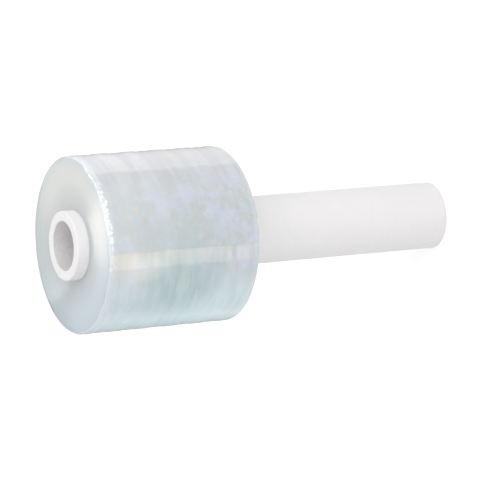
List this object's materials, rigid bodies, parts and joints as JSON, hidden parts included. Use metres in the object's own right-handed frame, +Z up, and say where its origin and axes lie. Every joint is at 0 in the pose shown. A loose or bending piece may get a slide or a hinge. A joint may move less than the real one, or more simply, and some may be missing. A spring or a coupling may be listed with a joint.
{
  "type": "stretch wrap roll",
  "caption": "Hand roll of clear stretch film wound on a white paperboard core whose long bare end is the handle.",
  "frame": {"origin": "centre of the handle's free end, on the surface it stands on", "axes": "+Z up the core's axis, from the handle's free end to the stub's mouth; +X towards the side that is uppermost in the picture"},
  "size_m": [0.1372, 0.1373, 0.3277],
  "materials": {
    "core_board": "matt white paperboard, spiral wound, faintly mottled",
    "stretch_film": "clear stretch film in many turns, glossy, pale blue-green in the thickness"
  },
  "bodies": {
    "root": {"core_tube": "core_board", "film_roll": "stretch_film"}
  },
  "joints": []
}
